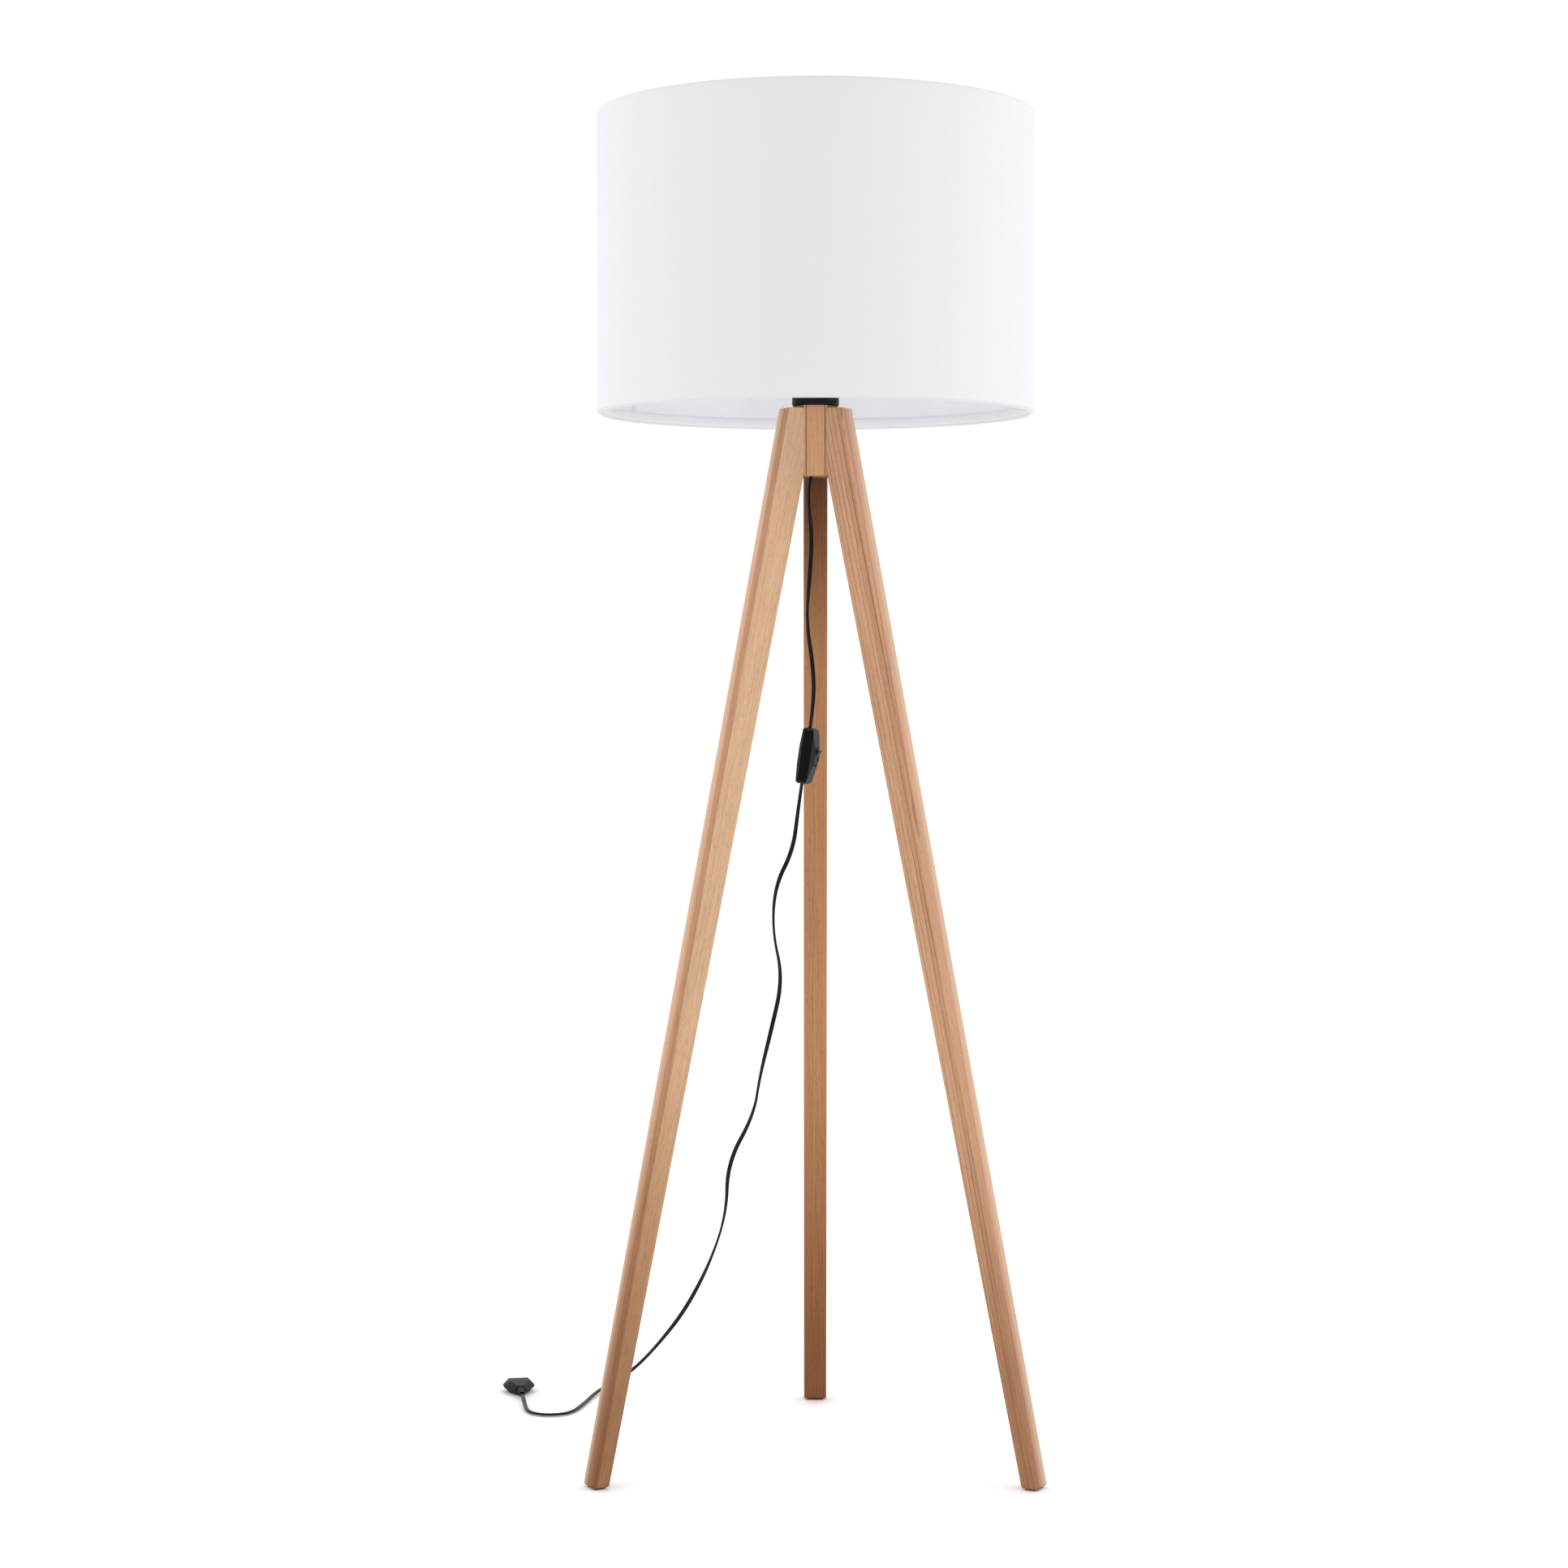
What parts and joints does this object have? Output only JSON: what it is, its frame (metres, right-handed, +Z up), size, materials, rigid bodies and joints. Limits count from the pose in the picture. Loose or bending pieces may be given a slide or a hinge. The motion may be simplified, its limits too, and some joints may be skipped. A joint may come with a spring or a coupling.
{
  "type": "tripod floor lamp",
  "caption": "Tripod floor lamp: tapered wooden legs on a hexagonal hub, a white fabric drum shade on a wire spider, and a flat black flex with a rocker switch and a flat plug.",
  "frame": {"origin": "on the floor, in the middle of the rectangle that the shade and the feet cover; the lamp's own vertical axis is at Y = -0.019 m", "axes": "+Z up, +Y towards the rear leg, +X to the right seen from the front; the front is -Y, between the two front legs"},
  "size_m": [0.5882, 0.5387, 1.3906],
  "materials": {
    "leg_wood": "oiled, fine straight grain",
    "hub_wood": "oiled, fine straight grain",
    "dowel_wood": "raw beech",
    "felt": "pressed felt",
    "disc_black": "satin black paint",
    "zinc_steel": "zinc plated",
    "nylon_black": "moulded nylon",
    "holder_plastic": "moulded, fine texture",
    "holder_ceramic": "unglazed",
    "contact_brass": "bare",
    "wire_white": "gloss white powder coat",
    "shade_fabric": "fine plain weave, laminated",
    "shade_liner": "smooth white sheet",
    "bulb_nickel": "nickel plated",
    "bulb_insulator": "black vitrite",
    "bulb_plastic": "satin opal white",
    "board_white": "white solder mask",
    "led_yellow": "phosphor",
    "flex_black": "satin PVC",
    "core_brown": "PVC",
    "core_blue": "PVC",
    "switch_plastic": "moulded, fine texture",
    "plug_rubber": "moulded PVC",
    "pin_nickel": "nickel plated",
    "pin_sleeve": "moulded"
  },
  "bodies": {
    "lamp": {"cord_grip": "nylon_black", "core_live": "core_brown", "core_neutral": "core_blue", "flex_inner": "flex_black", "flex_lower": "flex_black", "flex_upper": "flex_black", "foot_pads": "felt", "grip_screw": "zinc_steel", "holder_body": "holder_plastic", "holder_cap": "holder_plastic", "holder_centre_contact": "contact_brass", "holder_insert": "holder_ceramic", "holder_screw_shell": "contact_brass", "holder_terminal_screws": "zinc_steel", "holder_terminals": "contact_brass", "hub_block": "hub_wood", "leg_dowels": "dowel_wood", "leg_left": "leg_wood", "leg_rear": "leg_wood", "leg_right": "leg_wood", "plug_body": "plug_rubber", "plug_pins": "pin_nickel", "plug_relief": "plug_rubber", "plug_sleeves": "pin_sleeve", "shade_cover": "shade_fabric", "shade_fitter": "wire_white", "shade_liner": "shade_liner", "shade_ring_lower": "holder_plastic", "shade_ring_upper": "holder_plastic", "shade_seam": "shade_liner", "shade_top_ring": "wire_white", "switch_base": "switch_plastic", "switch_case_screws": "zinc_steel", "switch_clamp_screws": "zinc_steel", "switch_clamps": "nylon_black", "switch_cores": "core_brown", "switch_cover": "switch_plastic", "switch_flex_ends": "flex_black", "switch_terminal_screws": "zinc_steel", "switch_terminals": "contact_brass", "threaded_tube": "zinc_steel", "top_disc": "disc_black", "tube_nut": "zinc_steel", "tube_washer": "zinc_steel"},
    "rocker": {"switch_rocker": "switch_plastic", "switch_plunger": "nylon_black", "switch_spring": "zinc_steel"},
    "contact_lever": {"switch_lever": "contact_brass"},
    "bulb_thread": {"bulb_insulator": "bulb_insulator", "bulb_contact": "bulb_nickel"},
    "bulb": {"bulb_cap": "bulb_nickel", "bulb_body": "bulb_plastic", "bulb_globe": "bulb_plastic", "led_board": "board_white", "led_chips": "led_yellow", "bulb_driver": "board_white"}
  },
  "joints": [
    {"name": "rocker_tilt", "type": "hinge", "parent": "lamp", "child": "rocker", "pos_m": [-0.00187, -0.02115, 0.73094], "axis": [-0.2561, -0.9659, 0.0375], "range_deg": [0, 20]},
    {"name": "lever_tilt", "type": "hinge", "parent": "lamp", "child": "contact_lever", "pos_m": [-0.01229, -0.01833, 0.73246], "axis": [-0.2561, -0.9659, 0.0375], "range_deg": [-16, 0]},
    {"name": "bulb_rise", "type": "slide", "parent": "lamp", "child": "bulb_thread", "axis": [0, 0, 1], "range_m": [0, 0.0128]},
    {"name": "bulb_turn", "type": "hinge", "parent": "bulb_thread", "child": "bulb", "pos_m": [0, -0.019, 1.15], "axis": [0, 0, 1], "range_deg": [0, 1260]}
  ],
  "couplings": [
    {"joint": "lever_tilt", "follows": "rocker_tilt", "ratio": -0.8},
    {"joint": "bulb_rise", "follows": "bulb_turn", "m_per_rad": 0.00057773}
  ]
}
